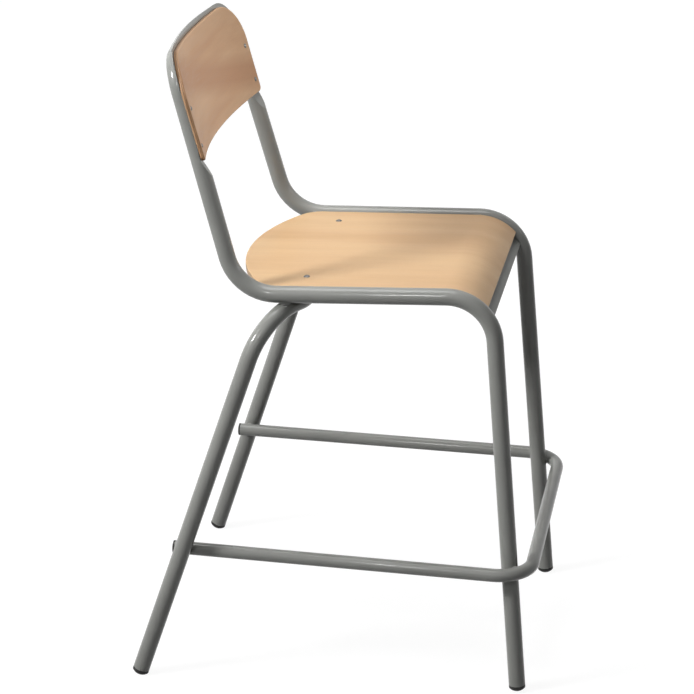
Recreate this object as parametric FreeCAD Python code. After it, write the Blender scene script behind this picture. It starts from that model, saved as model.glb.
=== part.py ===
import FreeCAD, Part
import math
import os
from FreeCAD import Vector

os.makedirs("parts", exist_ok=True)

# Counter chair: bent steel tube frame with plywood seat and back.
# Millimetres. X is forward, Y is to the sitter's left, Z is up, the floor is Z = 0.

# Tube stock
tube_radius = 12.5
tube_wall = 1.5
foot_tube_radius = 10.0
foot_tube_wall = 1.5
weld_gap = 0.25

# Main frame tube, on its axis
front_foot_x = 250.0
front_foot_half = 207.0
seat_front_x = 189.5
seat_front_half = 188.5
seat_front_height = 619.5
seat_rear_x = -183.5
seat_rear_half = 195.0
seat_rear_height = 600.0
back_top_x = -281.5
back_top_half = 179.5
back_top_height = 936.0
back_top_bow = 19.0
front_bend = 70.0
rear_bend = 72.0
top_bend = 49.0

# Rear leg tube, on its axis
rear_foot_x = -322.5
rear_foot_half = 267.0
rear_knee_x = -137.0
rear_knee_half = 230.5
rear_bar_x = -91.0
rear_bar_half = 150.0
rear_knee_bend = 90.0
rear_bar_bend = 60.0

# Footrest tube
footrest_height = 200.0
footrest_front_x = 263.0
footrest_rear_overhang = 14.0
footrest_bend = 55.0

# Seat plywood
seat_thickness = 9.5
seat_rise = 7.0
seat_side_gap = 0.5
seat_rear_edge_x = -206.5
seat_rear_arc = 300.0
seat_corner = 40.0
seat_lip_angle = 50.6
seat_edge_round = 1.5

# Front crossbar, a flat bar under the seat's lip
crossbar_thickness = 4.0
crossbar_below = 26.3
crossbar_overlap = 13.0
seat_rest_gap = 0.2

# Back plywood, placed on the loop of the main tube
back_side_cover = 11.0
back_top_cover = 8.0
back_height = 154.0
back_corner = 70.0
back_foot_corner = 8.0
back_thickness = 6.5
back_face_rise = 12.5
back_bow = 21.8
back_rest_gap = 0.2
back_edge_round = 2.5
press_runout = 25.0
press_clear = 30.0

# Rivets
rivet_shank = 2.5
rivet_hole_clearance = 0.2
rivet_head = 5.0
rivet_head_height = 2.2
rivet_seat_gap = 0.05
seat_rivet_half = 133.0
spacer_radius = 9.0
back_rivet_shank = 2.0
back_rivet_head = 3.7
back_rivet_head_height = 1.6
back_rivet_low = 21.0
back_rivet_pitch = 56.0

# Foot plugs
plug_show = 9.0
plug_dome = 16.0
plug_dome_height = 14.5
plug_stem = 18.0
plug_clearance = 0.15

# Footrest end plugs
end_plug_rim = 2.5
end_plug_show = 1.5
end_plug_stem = 15.0

# Weld beads
weld_bead = 8.5
foot_weld_bead = 7.5
crossbar_weld_bead = 3.5
crossbar_weld_inset = 5.0

up = Vector(0, 0, 1)
side = Vector(0, 1, 0)


def flip(point):
    return Vector(point.x, -point.y, point.z)


def toward(start, end):
    step = end - start
    return step * (1.0 / step.Length)


def bent(points, radii):
    """Lines and arcs through a row of corners, each with its bend radius."""
    edges = []
    last = points[0]
    for before, corner, after, radius in zip(points, points[1:], points[2:], radii):
        back = toward(corner, before)
        ahead = toward(corner, after)
        half = math.acos(max(-1.0, min(1.0, back.dot(ahead)))) / 2
        reach = radius / math.tan(half)
        enter = corner + back * reach
        leave = corner + ahead * reach
        middle_way = back + ahead
        middle_way = middle_way * (1.0 / middle_way.Length)
        middle = corner + middle_way * (radius / math.sin(half) - radius)
        if (enter - last).Length > 1e-6:
            edges.append(Part.LineSegment(last, enter).toShape())
        edges.append(Part.Arc(enter, middle, leave).toShape())
        last = leave
    edges.append(Part.LineSegment(last, points[-1]).toShape())
    return Part.Wire(edges)


def rod(wire, radius):
    """A round solid along a bent wire."""
    first = wire.Edges[0]
    start = first.valueAt(first.FirstParameter)
    way = first.tangentAt(first.FirstParameter)
    section = Part.Face(Part.Wire(Part.makeCircle(radius, start, way)))
    solid = wire.makePipe(section)
    return solid if solid.ShapeType == "Solid" else solid.Solids[0]


def single(shape):
    """The one solid of a boolean's result."""
    return max(shape.Solids, key=lambda solid: solid.Volume)


def eased(solid, radius):
    """Round every sharp edge of a board."""
    sharp = []
    for edge in solid.Edges:
        middle = edge.valueAt(0.5 * (edge.FirstParameter + edge.LastParameter))
        faces = solid.ancestorsOfType(edge, Part.Face)
        normals = [face.normalAt(*face.Surface.parameter(middle)) for face in faces]
        if len(normals) == 2 and normals[0].dot(normals[1]) < 0.9:
            sharp.append(edge)
    return single(solid.makeFillet(radius, sharp))


def prism(points, thickness_way):
    return Part.Face(Part.makePolygon(points + [points[0]])).extrude(thickness_way)


# Main frame tube
front_foot = Vector(front_foot_x, front_foot_half, 0)
seat_front = Vector(seat_front_x, seat_front_half, seat_front_height)
seat_rear = Vector(seat_rear_x, seat_rear_half, seat_rear_height)
back_top = Vector(back_top_x, back_top_half, back_top_height)
back_crown = Vector(back_top_x - back_top_bow, 0, back_top_height)
front_leg_way = toward(front_foot, seat_front)
front_start = front_foot + front_leg_way * plug_show
crown_half = math.atan2(back_top_half, back_top_bow)
crown_bend = 0.5 * (back_top - back_crown).Length * math.tan(crown_half)
left_corners = [front_start, seat_front, seat_rear, back_top]
frame_wire = bent(
    left_corners + [back_crown] + [flip(p) for p in reversed(left_corners)],
    [front_bend, rear_bend, top_bend, crown_bend, top_bend, rear_bend, front_bend],
)
frame_full = rod(frame_wire, tube_radius)
frame_bore = rod(frame_wire, tube_radius - tube_wall)

# The upright's own directions: up its length, and square to it towards the sitter
rise_way = toward(Vector(seat_rear_x, 0, seat_rear_height), Vector(back_top_x, 0, back_top_height))
face_way = Vector(rise_way.z, 0, -rise_way.x)
back_base = Vector(seat_rear_x, 0, seat_rear_height)
upright_length = (Vector(back_top_x, 0, back_top_height) - back_base).Length
back_upper = upright_length + back_top_cover
back_bottom = back_upper - back_height


def upright_half(rise):
    return seat_rear_half + (back_top_half - seat_rear_half) * rise / upright_length


back_half_width = upright_half(back_bottom) + back_side_cover
bow_radius = (back_half_width ** 2 + back_bow ** 2) / (2 * back_bow)


def back_frame(rise, depth):
    return back_base + rise_way * rise + face_way * depth


def bowed(front, rear, low, high, half):
    """A sheet bowed with the panel's face, between two depths."""
    axis = back_frame(low, back_face_rise - back_bow + bow_radius)
    outer = Part.makeCylinder(bow_radius + back_face_rise - rear, high - low, axis, rise_way)
    inner = Part.makeCylinder(bow_radius + back_face_rise - front, high - low, axis, rise_way)
    keep = prism(
        [
            back_frame(low - 1, -bow_radius / 4) - side * half,
            back_frame(low - 1, bow_radius / 4) - side * half,
            back_frame(low - 1, bow_radius / 4) + side * half,
            back_frame(low - 1, -bow_radius / 4) + side * half,
        ],
        rise_way * (high - low + 2),
    )
    return single(outer.cut(inner).common(keep))


# The front of the loop is pressed flat where the back panel lies in it
back_rear_depth = back_face_rise - back_thickness
press_depth = back_rear_depth - back_rest_gap
press_half = back_half_width + 3 * tube_radius
press_low = back_bottom - tube_wall
press_high = back_upper + 3 * tube_radius
press_front = press_depth + press_clear
pressed_outside = bowed(press_front, press_depth, press_low, press_high, press_half)
pressed_inside = bowed(
    press_front,
    press_depth - tube_wall,
    press_low - tube_wall,
    press_high + tube_wall,
    press_half,
)
press_radius = bow_radius + back_face_rise - press_depth
press_sag = press_radius - math.sqrt(press_radius ** 2 - upright_half(press_low) ** 2)
press_foot = press_depth - back_bow + press_sag
press_tilt = math.degrees(math.atan2(tube_radius - press_foot, press_runout))


def run_out(rear):
    """The pressing's lower end, sloping back out to the round tube."""
    slope = bowed(press_front, rear, press_low - 3 * press_runout, press_low, press_half)
    slope.rotate(back_frame(press_low, press_foot), side, -press_tilt)
    return slope


bore = single(frame_bore.cut(pressed_inside).cut(run_out(press_depth - tube_wall)))
frame_tube = single(frame_full.cut(pressed_outside).cut(run_out(press_depth)))
frame_tube = single(frame_tube.cut(bore))

# Rear leg tube: its bar is let down until it just clears the rails
rear_foot = Vector(rear_foot_x, rear_foot_half, 0)
rail_slope = (seat_front_height - seat_rear_height) / (seat_front_x - seat_rear_x)
bar_height = seat_rear_height + rail_slope * (rear_bar_x - seat_rear_x) - 2 * tube_radius
rail_line = Part.LineSegment(seat_front, seat_rear).toShape()


def rear_path(height):
    knee = Vector(rear_knee_x, rear_knee_half, height)
    bar = Vector(rear_bar_x, rear_bar_half, height)
    start = rear_foot + toward(rear_foot, knee) * plug_show
    corners = [start, knee, bar]
    row = corners + [flip(p) for p in reversed(corners)]
    return bent(row, [rear_knee_bend, rear_bar_bend, rear_bar_bend, rear_knee_bend])


for step in range(8):
    apart = rail_line.distToShape(rear_path(bar_height))[0]
    bar_height += apart - 2 * tube_radius - weld_gap
rear_wire = rear_path(bar_height)
rear_knee = Vector(rear_knee_x, rear_knee_half, bar_height)
rear_leg_way = toward(rear_foot, rear_knee)
rear_full = rod(rear_wire, tube_radius)
rear_leg_tube = single(rear_full.cut(rod(rear_wire, tube_radius - tube_wall)))

# Footrest tube: outside the front legs and inside the rear legs
touch = tube_radius + foot_tube_radius + weld_gap


def leg_at(foot, way, height):
    return foot + way * (height / way.z)


def reach_y(way):
    return touch * math.hypot(1.0, way.y / way.z)


front_cross = leg_at(front_foot, front_leg_way, footrest_height)
rear_cross = leg_at(rear_foot, rear_leg_way, footrest_height)
bar_rear = Vector(rear_cross.x, rear_cross.y - reach_y(rear_leg_way), footrest_height)
front_leg_line = Part.LineSegment(front_foot, seat_front).toShape()


def footrest_path(front_half):
    corner = Vector(footrest_front_x, front_half, footrest_height)
    end = bar_rear + toward(corner, bar_rear) * footrest_rear_overhang
    return bent([end, corner, flip(corner), flip(end)], [footrest_bend, footrest_bend])


# The bends are let out until the tube just clears the front legs
footrest_front_half = front_cross.y + reach_y(front_leg_way)
for step in range(12):
    apart = front_leg_line.distToShape(footrest_path(footrest_front_half))[0]
    footrest_front_half += touch - apart
footrest_wire = footrest_path(footrest_front_half)
footrest_corner = Vector(footrest_front_x, footrest_front_half, footrest_height)
bar_way = toward(footrest_corner, bar_rear)
footrest_end = bar_rear + bar_way * footrest_rear_overhang
footrest_full = rod(footrest_wire, foot_tube_radius)
footrest_tube = single(footrest_full.cut(rod(footrest_wire, foot_tube_radius - foot_tube_wall)))

# Side view of the seat: along the rails, then over the front bend
rail_way = toward(Vector(seat_rear_x, 0, seat_rear_height), Vector(seat_front_x, 0, seat_front_height))
rail_up = Vector(-rail_way.z, 0, rail_way.x)
leg_down = toward(Vector(seat_front_x, 0, seat_front_height), Vector(front_foot_x, 0, 0))
bend_half = math.acos((rail_way * -1).dot(leg_down)) / 2
bend_in = leg_down - rail_way
bend_in = bend_in * (1.0 / bend_in.Length)
bend_centre = Vector(seat_front_x, 0, seat_front_height) + bend_in * (front_bend / math.sin(bend_half))
seat_outer = front_bend + seat_rise
seat_inner = seat_outer - seat_thickness


def on_bend(angle, radius):
    turn = math.radians(angle)
    return bend_centre + rail_up * (radius * math.cos(turn)) + rail_way * (radius * math.sin(turn))


seat_reach = bend_centre.x - seat_rear_edge_x + 20.0
top_start = on_bend(0, seat_outer)
low_start = on_bend(0, seat_inner)
top_back = top_start - rail_way * seat_reach
low_back = low_start - rail_way * seat_reach
lip_top = on_bend(seat_lip_angle, seat_outer)
lip_low = on_bend(seat_lip_angle, seat_inner)
seat_profile = Part.Wire(
    [
        Part.LineSegment(low_back, top_back).toShape(),
        Part.LineSegment(top_back, top_start).toShape(),
        Part.Arc(top_start, on_bend(seat_lip_angle / 2, seat_outer), lip_top).toShape(),
        Part.LineSegment(lip_top, lip_low).toShape(),
        Part.Arc(lip_low, on_bend(seat_lip_angle / 2, seat_inner), low_start).toShape(),
        Part.LineSegment(low_start, low_back).toShape(),
    ]
)
seat_half = max(seat_front_half, seat_rear_half)
seat_block = Part.Face(seat_profile).extrude(side * (2 * seat_half))
seat_block.translate(side * -seat_half)

# Plan of the seat: sides along the rails, a bowed rear edge with rounded corners
side_slope = (seat_front_half - seat_rear_half) / (seat_front_x - seat_rear_x)
side_inset = tube_radius + seat_side_gap
plan_low = 0.5 * seat_rear_height


def side_y(x):
    return seat_rear_half + side_slope * (x - seat_rear_x) - side_inset


def rear_edge_x(y):
    return seat_rear_edge_x + seat_rear_arc - math.sqrt(seat_rear_arc ** 2 - y ** 2)


corner_y = side_y(seat_rear_edge_x)
for step in range(8):
    corner_y = side_y(rear_edge_x(corner_y))
plan_corner = Vector(rear_edge_x(corner_y), corner_y, plan_low)
plan_front = Vector(seat_front_x + tube_radius, side_y(seat_front_x + tube_radius), plan_low)
plan_wire = Part.Wire(
    [
        Part.LineSegment(plan_front, plan_corner).toShape(),
        Part.Arc(plan_corner, Vector(seat_rear_edge_x, 0, plan_low), flip(plan_corner)).toShape(),
        Part.LineSegment(flip(plan_corner), flip(plan_front)).toShape(),
        Part.LineSegment(flip(plan_front), plan_front).toShape(),
    ]
)
plan_block = Part.Face(plan_wire).extrude(up * seat_front_height)
corner_edges = [
    edge
    for edge in plan_block.Edges
    if abs(edge.Vertexes[0].X - plan_corner.x) < 0.01
    and abs(edge.Vertexes[-1].X - plan_corner.x) < 0.01
    and abs(edge.Vertexes[0].Y - edge.Vertexes[-1].Y) < 0.01
]
plan_block = plan_block.makeFillet(seat_corner, corner_edges)
seat_panel = single(seat_block.common(plan_block))
seat_panel = eased(seat_panel, seat_edge_round)

# Front crossbar: lies against the underside of the lip, ends on the bends
bar_turn = crossbar_overlap / 2
bar_angle = seat_lip_angle - bar_turn
crossbar_above = seat_inner * math.sin(math.radians(bar_turn))
crossbar_width = crossbar_below + crossbar_above
bar_point = on_bend(bar_angle, seat_inner * math.cos(math.radians(bar_turn)) - seat_rest_gap)
bar_out = toward(bend_centre, bar_point)
bar_down = Vector(bar_out.z, 0, -bar_out.x)
bar_corner = bar_point + bar_down * crossbar_below - side * seat_front_half
front_crossbar = prism(
    [
        bar_corner,
        bar_corner - bar_out * crossbar_thickness,
        bar_corner - bar_out * crossbar_thickness - bar_down * crossbar_width,
        bar_corner - bar_down * crossbar_width,
    ],
    side * (2 * seat_front_half),
)
front_crossbar = single(front_crossbar.cut(rod(frame_wire, tube_radius + weld_gap)))

# Back panel
back_sheet = bowed(
    back_face_rise,
    back_rear_depth,
    back_bottom - tube_radius,
    back_upper + tube_radius,
    back_half_width + tube_radius,
)
outline_reach = back_bow + back_thickness + 2 * tube_radius
outline_start = back_frame(back_bottom, -outline_reach)
outline = prism(
    [
        outline_start - side * back_half_width,
        outline_start + side * back_half_width,
        outline_start + side * back_half_width + rise_way * back_height,
        outline_start - side * back_half_width + rise_way * back_height,
    ],
    face_way * (2 * outline_reach),
)


def corner_of(solid, rise):
    mark = back_frame(rise, 0).dot(rise_way)
    found = []
    for edge in solid.Edges:
        ends = [v.Point for v in edge.Vertexes]
        if len(ends) == 2 and all(abs(e.dot(rise_way) - mark) < 0.01 for e in ends):
            if abs(ends[0].y - ends[1].y) < 0.01:
                found.append(edge)
    return found


outline = outline.makeFillet(back_corner, corner_of(outline, back_upper))
outline = outline.makeFillet(back_foot_corner, corner_of(outline, back_bottom))
back_panel = single(back_sheet.common(outline))
back_panel = eased(back_panel, back_edge_round)


# Rivets
def dome(radius, height, base, way):
    """A round rivet head standing on a plane."""
    ball = (radius ** 2 + height ** 2) / (2 * height)
    whole = Part.makeSphere(ball, base + way * (height - ball))
    return whole.common(Part.makeCylinder(radius * 2, height * 2, base, way))


def rivet(head_point, way, length, shank, head, height):
    """Head on top of head_point, shank down the way, formed tail at its end."""
    tail = head_point + way * length
    pin = Part.makeCylinder(shank, length, head_point, way)
    ends = [dome(head, height, head_point, way * -1), dome(head, height, tail, way)]
    return single(pin.fuse(ends))


def hole(head_point, way, length, shank):
    """Clearance hole a little longer than the shank at both ends."""
    over = rivet_head_height
    return Part.makeCylinder(
        shank + rivet_hole_clearance, length + 2 * over, head_point - way * over, way
    )


# Seat rivets stand square to the rails, above the rear tube's bar
seat_rivets = []
seat_spacers = []
seat_holes = []
bar_axis = Vector(rear_bar_x, 0, bar_height)
seat_plane = (top_start - bar_axis).dot(rail_up)
for mirror in (1, -1):
    bar_point_here = bar_axis + side * (mirror * seat_rivet_half)
    start = bar_point_here + rail_up * (seat_plane + rivet_seat_gap)
    length = seat_plane + rivet_seat_gap + tube_radius + rivet_seat_gap
    seat_rivets.append(
        rivet(start, rail_up * -1, length, rivet_shank, rivet_head, rivet_head_height)
    )
    cut = hole(start, rail_up * -1, length, rivet_shank)
    seat_holes.append(cut)
    post = Part.makeCylinder(spacer_radius, seat_plane - seat_thickness - rivet_seat_gap, bar_point_here, rail_up)
    seat_spacers.append(single(post.cut(rod(rear_wire, tube_radius + rivet_seat_gap)).cut(cut)))
seat_panel = single(seat_panel.cut(seat_holes))
rear_leg_tube = single(rear_leg_tube.cut(seat_holes))

# Back rivets stand square to the bowed face and close inside the pressed wall of the upright
back_rivets = []
back_holes = []
back_grip = back_thickness + back_rest_gap + tube_wall + 2 * rivet_seat_gap
for rise in (back_bottom + back_rivet_low, back_bottom + back_rivet_low + back_rivet_pitch):
    rivet_half = upright_half(rise)
    sag = bow_radius - math.sqrt(bow_radius ** 2 - rivet_half ** 2)
    lean = math.asin(rivet_half / bow_radius)
    for mirror in (1, -1):
        inward = side * (mirror * math.sin(lean)) - face_way * math.cos(lean)
        start = back_frame(rise, back_face_rise - back_bow + sag) + side * (mirror * rivet_half)
        start = start - inward * rivet_seat_gap
        back_rivets.append(
            rivet(start, inward, back_grip, back_rivet_shank, back_rivet_head, back_rivet_head_height)
        )
        back_holes.append(hole(start, inward, back_grip, back_rivet_shank))
back_panel = single(back_panel.cut(back_holes))
frame_tube = single(frame_tube.cut(back_holes))


# Plugs
def foot_plug(foot, way):
    """Domed plug at a leg's end, with a flat where it stands on the floor."""
    head = Part.makeCylinder(tube_radius, plug_show + 2 * plug_dome, foot - way * (2 * plug_dome), way)
    head = head.common(Part.makeSphere(plug_dome, foot + way * plug_dome_height))
    stem = Part.makeCylinder(
        tube_radius - tube_wall - plug_clearance, plug_stem, foot + way * plug_show, way
    )
    deep = 4 * plug_dome
    floor = Part.makeBox(2 * deep, 2 * deep, deep, foot - Vector(deep, deep, deep))
    return single(head.fuse(stem).cut(floor))


def end_plug(end, way):
    """Rimmed cap with a stem, in the footrest tube's open end."""
    rim = Part.makeCylinder(foot_tube_radius, end_plug_rim, end, way)
    cap = rim.fuse(dome(foot_tube_radius, end_plug_show, end + way * end_plug_rim, way))
    stem_radius = foot_tube_radius - foot_tube_wall - plug_clearance
    stem = Part.makeCylinder(stem_radius, end_plug_stem, end, way * -1)
    return single(cap.fuse(stem))


# Weld beads
def bead(point, radius, tubes):
    ball = Part.makeSphere(radius, point)
    for tube in tubes:
        ball = single(ball.cut(tube))
    return ball


def meeting(first, second):
    near = first.distToShape(second)[1][0]
    return (near[0] + near[1]) * 0.5


def halves(wire, left):
    """The edges of a symmetric wire on one side."""
    sign = 1 if left else -1
    kept = [e for e in wire.Edges if e.CenterOfMass.y * sign > 20.0]
    return Part.Compound(kept)


def crossbar_weld(mirror):
    """Bead down the rear face of the flat bar where it meets the bend."""
    start = bar_point + bar_down * (crossbar_below - crossbar_weld_inset) - bar_out * crossbar_thickness
    start = start + side * (mirror * (seat_front_half - tube_radius))
    run = Part.makeCylinder(
        crossbar_weld_bead, crossbar_width - 2 * crossbar_weld_inset, start, bar_down * -1
    )
    return single(single(run.cut(frame_full)).cut(front_crossbar))


pieces = {
    "frame_tube": [frame_tube],
    "rear_leg_tube": [rear_leg_tube],
    "footrest_tube": [footrest_tube],
    "front_crossbar": [front_crossbar],
    "seat_panel": [seat_panel],
    "back_panel": [back_panel],
    "seat_rivets": seat_rivets,
    "seat_spacers": seat_spacers,
    "back_rivets": back_rivets,
}
for name, left in (("left", True), ("right", False)):
    place = (lambda p: p) if left else flip
    pieces["front_" + name + "_foot_plug"] = [foot_plug(place(front_foot), place(front_leg_way))]
    pieces["rear_" + name + "_foot_plug"] = [foot_plug(place(rear_foot), place(rear_leg_way))]
    pieces["crossbar_" + name + "_weld"] = [crossbar_weld(1 if left else -1)]
    pieces["footrest_" + name + "_end_plug"] = [end_plug(place(footrest_end), place(bar_way))]
    frame_side = halves(frame_wire, left)
    rear_side = halves(rear_wire, left)
    foot_side = halves(footrest_wire, left)
    rail_side = Part.LineSegment(place(seat_front), place(seat_rear)).toShape()
    pieces["rear_leg_" + name + "_weld"] = [
        bead(meeting(rail_side, rear_side), weld_bead, [frame_full, rear_full])
    ]
    front_leg = Part.LineSegment(place(front_foot), place(seat_front)).toShape()
    rear_leg = Part.LineSegment(place(rear_foot), place(rear_knee)).toShape()
    pieces["footrest_front_" + name + "_weld"] = [
        bead(meeting(front_leg, foot_side), foot_weld_bead, [frame_full, footrest_full])
    ]
    pieces["footrest_rear_" + name + "_weld"] = [
        bead(meeting(rear_leg, foot_side), foot_weld_bead, [rear_full, footrest_full])
    ]

# Origin on the floor under the middle of the whole chair
whole = Part.Compound([solid for group in pieces.values() for solid in group])
box = whole.optimalBoundingBox(False, False)
shift = Vector(-box.Center.x, -box.Center.y, -box.ZMin)
for name, group in pieces.items():
    shape = group[0] if len(group) == 1 else Part.Compound(group)
    shape.translate(shift)
    shape.exportStep("parts/" + name + ".step")
print("shift", shift, "size", box.XLength, box.YLength, box.ZLength)
for name, group in pieces.items():
    print(name, len(group), round(sum(solid.Volume for solid in group), 1), all(s.isValid() for s in group))
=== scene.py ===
import bpy
import math
from mathutils import Matrix, Vector

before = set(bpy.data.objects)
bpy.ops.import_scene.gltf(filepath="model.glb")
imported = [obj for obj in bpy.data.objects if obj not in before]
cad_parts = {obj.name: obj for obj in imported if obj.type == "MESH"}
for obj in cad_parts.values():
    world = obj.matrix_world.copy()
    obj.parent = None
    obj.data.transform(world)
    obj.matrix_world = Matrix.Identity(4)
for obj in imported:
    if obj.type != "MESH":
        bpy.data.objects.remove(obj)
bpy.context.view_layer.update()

scene = bpy.context.scene
scene.view_settings.view_transform = "Standard"
print("frame loaded,", len(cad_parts), "nodes")


# small helpers for building materials
def newMaterial(name):
    mat = bpy.data.materials.new(name)
    mat.use_nodes = True
    tree = mat.node_tree
    tree.nodes.clear()
    out = tree.nodes.new("ShaderNodeOutputMaterial")
    bsdf = tree.nodes.new("ShaderNodeBsdfPrincipled")
    tree.links.new(bsdf.outputs["BSDF"], out.inputs["Surface"])
    return mat, tree, bsdf


def add(tree, kind, **values):
    node = tree.nodes.new(kind)
    for key, value in values.items():
        setattr(node, key, value)
    return node


def link(tree, a, b):
    tree.links.new(a, b)


def coords(tree, scale=(1, 1, 1)):
    tex = add(tree, "ShaderNodeTexCoord")
    mapping = add(tree, "ShaderNodeMapping")
    mapping.inputs["Scale"].default_value = scale
    link(tree, tex.outputs["Object"], mapping.inputs["Vector"])
    return mapping.outputs["Vector"]


def noise(tree, vector, scale, detail, rough=0.55):
    node = add(tree, "ShaderNodeTexNoise")
    node.inputs["Scale"].default_value = scale
    node.inputs["Detail"].default_value = detail
    node.inputs["Roughness"].default_value = rough
    link(tree, vector, node.inputs["Vector"])
    return node.outputs["Fac"]


def ramp(tree, fac, stops):
    node = add(tree, "ShaderNodeValToRGB")
    while len(node.color_ramp.elements) < len(stops):
        node.color_ramp.elements.new(0.5)
    for element, (pos, colour) in zip(node.color_ramp.elements, stops):
        element.position = pos
        element.color = (*colour, 1.0)
    link(tree, fac, node.inputs["Fac"])
    return node.outputs["Color"]


def mixColour(tree, fac, a, b, mode="MIX"):
    node = add(tree, "ShaderNodeMix", data_type="RGBA", blend_type=mode)
    for socket, value in ((node.inputs[0], fac), (node.inputs[6], a), (node.inputs[7], b)):
        if isinstance(value, (int, float)):
            socket.default_value = value
        elif isinstance(value, tuple):
            socket.default_value = (*value, 1.0)
        else:
            link(tree, value, socket)
    return node.outputs[2]


def calc(tree, operation, a, b=0.0):
    node = add(tree, "ShaderNodeMath", operation=operation)
    for socket, value in ((node.inputs[0], a), (node.inputs[1], b)):
        if isinstance(value, (int, float)):
            socket.default_value = value
        else:
            link(tree, value, socket)
    return node.outputs[0]


def spread(tree, fac, low, high, outLow, outHigh):
    node = add(tree, "ShaderNodeMapRange")
    for key, value in (("From Min", low), ("From Max", high), ("To Min", outLow), ("To Max", outHigh)):
        node.inputs[key].default_value = value
    link(tree, fac, node.inputs["Value"])
    return node.outputs["Result"]


def bump(tree, bsdf, height, strength, distance):
    node = add(tree, "ShaderNodeBump")
    node.inputs["Strength"].default_value = strength
    node.inputs["Distance"].default_value = distance
    link(tree, height, node.inputs["Height"])
    link(tree, node.outputs["Normal"], bsdf.inputs["Normal"])


def dot(tree, vector, way):
    node = add(tree, "ShaderNodeVectorMath", operation="DOT_PRODUCT")
    link(tree, vector, node.inputs[0])
    node.inputs[1].default_value = way
    return node.outputs["Value"]


# grey stove enamel on the tubes, the flat bar and the welds; the flat bar has no gloss coat
enamel = dict(
    dark=(0.232, 0.235, 0.221), light=(0.270, 0.274, 0.257), cloudScale=7.0,
    rough=(0.32, 0.41), roughScale=40.0, shine=0.12,
    tubeCoat=0.5, barCoat=0.0, coatRough=0.12,
)


def makeEnamel(name, coat):
    mat, tree, bsdf = newMaterial(name)
    cloud = noise(tree, coords(tree), enamel["cloudScale"], 3.0)
    tone = ramp(tree, cloud, [(0.3, enamel["dark"]), (0.7, enamel["light"])])
    link(tree, tone, bsdf.inputs["Base Color"])
    fine = noise(tree, coords(tree), enamel["roughScale"], 2.0)
    link(tree, spread(tree, fine, 0.3, 0.7, *enamel["rough"]), bsdf.inputs["Roughness"])
    bsdf.inputs["Specular IOR Level"].default_value = enamel["shine"]
    bsdf.inputs["Coat Weight"].default_value = coat
    bsdf.inputs["Coat Roughness"].default_value = enamel["coatRough"]
    return mat


# clear lacquered beech plywood, seat grain front to back, back grain side to side
seatWood = dict(
    pale=(0.672, 0.462, 0.258), mid=(0.640, 0.422, 0.230), deep=(0.590, 0.370, 0.194),
    figure=(0.36, 0.5, 0.66), paintedShadeBand=None,
    grain=0, plies=7, thick=0.0095,
    centre=(0.15635, 0, 0.5461), faceWay=(-0.0522, 0, 0.9986), turnWay=(0.9986, 0, 0.0522), oneWay=True,
)
backWood = dict(
    pale=(0.605, 0.388, 0.228), mid=(0.566, 0.348, 0.198), deep=(0.505, 0.288, 0.154),
    figure=(0.40, 0.5, 0.62),
    # painted shade: a darker slanted band across the back panel, painted into the wood colour in place
    # of shading
    paintedShadeBand=dict(
        way=(-0.28, 0.24, 0.96), at=0.902, core=0.0102, half=0.034,
        depth=0.85, tone=(0.440, 0.230, 0.116),
    ),
    grain=1, plies=5, thick=0.0065,
    centre=(0.7023, 0, 0.8496), faceWay=(0.96, 0, 0.28), turnWay=(0, 1, 0), oneWay=False,
)
plyLook = dict(
    broad=(1.6, 15.0), fibre=(12.0, 330.0), fleck=(260.0, 1500.0),  # scales along and across the grain
    lineTone=(0.93, 0.91, 0.88), lineStops=(0.38, 0.6), lineShare=0.6,
    speckTone=(0.72, 0.62, 0.52), speckStops=(0.26, 0.36), speckShare=0.5,
    edgeDark=0.45, edgePale=0.80, bandSoft=0.6,  # edge tones are shares of the deep tone
    squareFrom=0.45, squareTo=0.72,  # below the first it is a cut edge, above the second a face
    rough=(0.4, 0.52), shine=0.3, bumpStrength=0.06, bumpDepth=0.0003,
)
plainWhite = (1.0, 1.0, 1.0)


# depth through a curved board, and how squarely the surface looks along it
def boardDepth(tree, wood):
    shift = add(tree, "ShaderNodeVectorMath", operation="SUBTRACT")
    link(tree, add(tree, "ShaderNodeTexCoord").outputs["Object"], shift.inputs[0])
    shift.inputs[1].default_value = wood["centre"]
    a = dot(tree, shift.outputs["Vector"], wood["faceWay"])
    b = dot(tree, shift.outputs["Vector"], wood["turnWay"])
    if wood["oneWay"]:
        b = calc(tree, "MAXIMUM", b, 0.0)  # flat behind the bend
    reach = calc(tree, "ADD", calc(tree, "MULTIPLY", a, a), calc(tree, "MULTIPLY", b, b))
    depth = calc(tree, "SQRT", reach)
    normal = add(tree, "ShaderNodeNewGeometry").outputs["Normal"]
    square = calc(tree, "MULTIPLY", a, dot(tree, normal, wood["faceWay"]))
    square = calc(tree, "ADD", square, calc(tree, "MULTIPLY", b, dot(tree, normal, wood["turnWay"])))
    return depth, calc(tree, "ABSOLUTE", calc(tree, "DIVIDE", square, depth))


def grainCoords(tree, wood, along, across):
    return coords(tree, tuple(along if axis == wood["grain"] else across for axis in range(3)))
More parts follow.
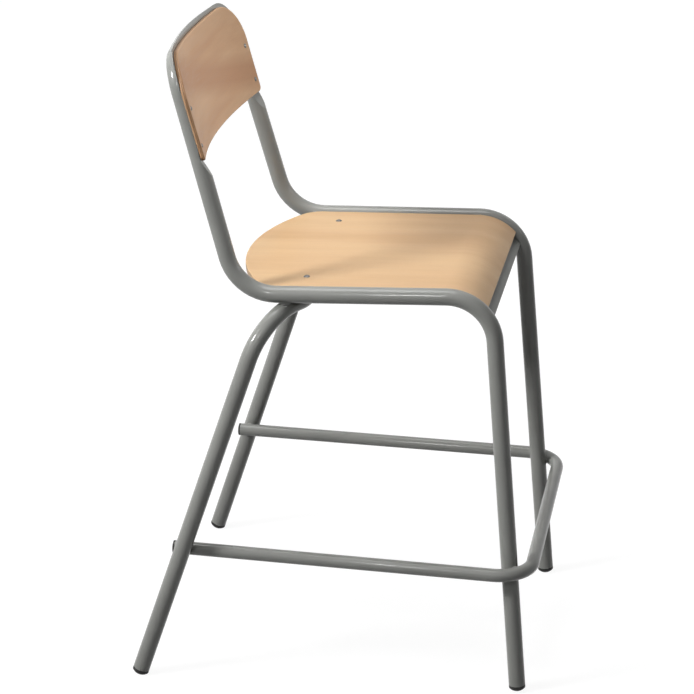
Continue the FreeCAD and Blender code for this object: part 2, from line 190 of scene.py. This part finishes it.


# face veneer: broad figure, a painted shade band (a darker slanted stripe painted in place of shading)
# where there is one, fibres and flecks
def veneer(tree, wood, fibre):
    broad = noise(tree, grainCoords(tree, wood, *plyLook["broad"]), 1.0, 3.0, 0.5)
    tones = zip(wood["figure"], (wood["pale"], wood["mid"], wood["deep"]))
    body = ramp(tree, broad, list(tones))
    paintedShadeBand = wood["paintedShadeBand"]
    # painted shade: darken a slanted band of the face towards the shade tone
    if paintedShadeBand:
        point = add(tree, "ShaderNodeTexCoord").outputs["Object"]
        off = calc(tree, "SUBTRACT", dot(tree, point, paintedShadeBand["way"]), paintedShadeBand["at"])
        off = calc(tree, "ABSOLUTE", off)
        paintedShadeMask = spread(tree, off, paintedShadeBand["core"], paintedShadeBand["half"], paintedShadeBand["depth"], 0.0)
        body = mixColour(tree, paintedShadeMask, body, paintedShadeBand["tone"])
    fleck = noise(tree, grainCoords(tree, wood, *plyLook["fleck"]), 1.0, 2.0, 0.5)
    lines = ramp(tree, fibre, list(zip(plyLook["lineStops"], (plyLook["lineTone"], plainWhite))))
    specks = ramp(tree, fleck, list(zip(plyLook["speckStops"], (plyLook["speckTone"], plainWhite))))
    face = mixColour(tree, plyLook["lineShare"], body, lines, "MULTIPLY")
    return mixColour(tree, plyLook["speckShare"], face, specks, "MULTIPLY")


# cut edges show the plies as bands
def plyBands(tree, wood, depth):
    wave = calc(tree, "SINE", calc(tree, "MULTIPLY", depth, math.pi * wood["plies"] / wood["thick"]))
    soft = plyLook["bandSoft"]
    dark = tuple(plyLook["edgeDark"] * c for c in wood["deep"])
    pale = tuple(plyLook["edgePale"] * c for c in wood["deep"])
    return ramp(tree, spread(tree, wave, -soft, soft, 0.0, 1.0), [(0.2, dark), (0.8, pale)])


def makePly(name, wood):
    mat, tree, bsdf = newMaterial(name)
    fibre = noise(tree, grainCoords(tree, wood, *plyLook["fibre"]), 1.0, 3.0, 0.6)
    depth, square = boardDepth(tree, wood)
    onFace = spread(tree, square, plyLook["squareFrom"], plyLook["squareTo"], 0.0, 1.0)
    colour = mixColour(tree, onFace, plyBands(tree, wood, depth), veneer(tree, wood, fibre))
    link(tree, colour, bsdf.inputs["Base Color"])
    link(tree, spread(tree, fibre, 0.3, 0.7, *plyLook["rough"]), bsdf.inputs["Roughness"])
    bsdf.inputs["Specular IOR Level"].default_value = plyLook["shine"]
    bump(tree, bsdf, fibre, plyLook["bumpStrength"], plyLook["bumpDepth"])
    return mat


# dull steel of the rivets
rivets = dict(
    dark=(0.10, 0.10, 0.095), light=(0.2, 0.195, 0.19), cloudScale=420.0,
    rough=(0.34, 0.52), metal=0.8,
)


def makeRivetSteel():
    mat, tree, bsdf = newMaterial("rivetSteel")
    cloud = noise(tree, coords(tree), rivets["cloudScale"], 3.0)
    tone = ramp(tree, cloud, [(0.3, rivets["dark"]), (0.7, rivets["light"])])
    link(tree, tone, bsdf.inputs["Base Color"])
    link(tree, spread(tree, cloud, 0.3, 0.7, *rivets["rough"]), bsdf.inputs["Roughness"])
    bsdf.inputs["Metallic"].default_value = rivets["metal"]
    return mat


# matt black plastic of the foot plugs and the footrest's end plugs
plugs = dict(
    dark=(0.016, 0.016, 0.016), light=(0.035, 0.034, 0.033), cloudScale=160.0,
    rough=(0.45, 0.62), shine=0.25, grainScale=900.0, bumpStrength=0.15, bumpDepth=0.0003,
)


def makePlugBlack():
    mat, tree, bsdf = newMaterial("plugBlack")
    cloud = noise(tree, coords(tree), plugs["cloudScale"], 4.0)
    tone = ramp(tree, cloud, [(0.3, plugs["dark"]), (0.75, plugs["light"])])
    link(tree, tone, bsdf.inputs["Base Color"])
    link(tree, spread(tree, cloud, 0.3, 0.7, *plugs["rough"]), bsdf.inputs["Roughness"])
    bsdf.inputs["Specular IOR Level"].default_value = plugs["shine"]
    grain = noise(tree, coords(tree), plugs["grainScale"], 2.0)
    bump(tree, bsdf, grain, plugs["bumpStrength"], plugs["bumpDepth"])
    return mat


greyEnamel = makeEnamel("greyEnamel", enamel["tubeCoat"])
plugBlack = makePlugBlack()
rivetSteel = makeRivetSteel()
finishes = dict(
    seat_panel=makePly("seatBeech", seatWood),
    back_panel=makePly("backBeech", backWood),
    seat_rivets=rivetSteel,
    back_rivets=rivetSteel,
    front_crossbar=makeEnamel("dullEnamel", enamel["barCoat"]),
)
for name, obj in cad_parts.items():
    mat = plugBlack if name.endswith("_plug") else finishes.get(name, greyEnamel)
    obj.data.materials.clear()
    obj.data.materials.append(mat)
print("materials set")


# one for rays that should see the plain white studio
def seesStudio(tree):
    path = add(tree, "ShaderNodeLightPath")
    seen = calc(tree, "MAXIMUM", path.outputs["Is Camera Ray"], path.outputs["Is Glossy Ray"])
    return calc(tree, "MAXIMUM", seen, path.outputs["Is Transmission Ray"])


# pale floor: keeps the shadow, and runs out to white away from the chair
floorLook = dict(
    colour=(0.13, 0.13, 0.13), near=0.93, far=1.0, fadeFrom=0.5, fadeTo=1.6,
    size=14.0, height=-0.0004,
)
bpy.ops.mesh.primitive_plane_add(size=floorLook["size"], location=(0, 0, floorLook["height"]))
floor = bpy.context.object
floor.name = "floor"
mat = bpy.data.materials.new("paleFloor")
mat.use_nodes = True
tree = mat.node_tree
tree.nodes.clear()
out = add(tree, "ShaderNodeOutputMaterial")
base = add(tree, "ShaderNodeBsdfDiffuse")
base.inputs["Color"].default_value = (*floorLook["colour"], 1)
glow = add(tree, "ShaderNodeEmission")
away = add(tree, "ShaderNodeVectorMath", operation="LENGTH")
link(tree, add(tree, "ShaderNodeTexCoord").outputs["Object"], away.inputs[0])
lift = spread(tree, away.outputs["Value"], floorLook["fadeFrom"], floorLook["fadeTo"],
              floorLook["near"], floorLook["far"])
link(tree, calc(tree, "MULTIPLY", seesStudio(tree), lift), glow.inputs["Strength"])
both = add(tree, "ShaderNodeAddShader")
link(tree, base.outputs[0], both.inputs[0])
link(tree, glow.outputs[0], both.inputs[1])
link(tree, both.outputs[0], out.inputs["Surface"])
floor.data.materials.append(mat)

# world: white where it is seen, a dim graded room for the light it gives
room = dict(low=0.01, high=0.11, way=(-0.35, -0.2, 0.9), fadeFrom=-0.6, fadeTo=0.9)
world = bpy.data.worlds.new("room")
scene.world = world
world.use_nodes = True
tree = world.node_tree
tree.nodes.clear()
out = add(tree, "ShaderNodeOutputWorld")
tex = add(tree, "ShaderNodeTexCoord")
height = dot(tree, tex.outputs["Generated"], room["way"])
level = spread(tree, height, room["fadeFrom"], room["fadeTo"], room["low"], room["high"])
soft = add(tree, "ShaderNodeBackground")
link(tree, level, soft.inputs["Strength"])
white = add(tree, "ShaderNodeBackground")
white.inputs["Color"].default_value = (1, 1, 1, 1)
pick = add(tree, "ShaderNodeMixShader")
link(tree, seesStudio(tree), pick.inputs[0])
link(tree, soft.outputs[0], pick.inputs[1])
link(tree, white.outputs[0], pick.inputs[2])
link(tree, pick.outputs[0], out.inputs["Surface"])

# key from the rear left, a soft lamp above, a small one for highlights, a narrow one on the back panel
lamps = dict(
    key=dict(at=(-3.39, -2.06, 2.88), aim=(0.0, 0.0, 0.8), size=1.0, power=17.2, cone=50.0),
    over=dict(at=(-0.35, 0.05, 3.2), aim=(0.0, 0.0, 0.6), size=1.4, power=38.0, cone=180.0),
    spark=dict(at=(-0.35, -2.8, 2.15), aim=(0.1, -0.2, 0.5), size=0.16, power=11.0, cone=180.0),
    panel=dict(at=(1.6, 0.3, 1.55), aim=(-0.25, 0.0, 0.88), size=0.3, power=0.47, cone=26.0),
)
for name, lamp in lamps.items():
    data = bpy.data.lights.new(name, "AREA")
    data.energy = lamp["power"]
    data.size = lamp["size"]
    data.spread = math.radians(lamp["cone"])
    obj = bpy.data.objects.new(name, data)
    scene.collection.objects.link(obj)
    way = Vector(lamp["aim"]) - Vector(lamp["at"])
    turn = way.to_track_quat("-Z", "Y").to_matrix().to_4x4()
    obj.matrix_world = Matrix.Translation(lamp["at"]) @ turn
print("stage and lamps set")

# camera solved from the edges of the tubes
view = dict(
    at=(0.60381, -3.62713, 1.87922), yaw=0.17139, pitch=-0.36970, roll=0.01252,
    lens=132.735, sensor=36.0,
)
flat = math.cos(view["pitch"])
ahead = Vector((
    -math.sin(view["yaw"]) * flat,
    math.cos(view["yaw"]) * flat,
    math.sin(view["pitch"]),
))
right = Vector((math.cos(view["yaw"]), math.sin(view["yaw"]), 0))
above = right.cross(ahead)
rollCos = math.cos(view["roll"])
rollSin = math.sin(view["roll"])
camX = right * rollCos + above * rollSin
camY = above * rollCos - right * rollSin
camData = bpy.data.cameras.new("camera")
camData.sensor_width = view["sensor"]
camData.sensor_fit = "HORIZONTAL"
camData.lens = view["lens"]
camera = bpy.data.objects.new("camera", camData)
turn = Matrix((camX, camY, -ahead)).transposed().to_4x4()
camera.matrix_world = Matrix.Translation(view["at"]) @ turn
scene.collection.objects.link(camera)
scene.camera = camera
print("camera set")
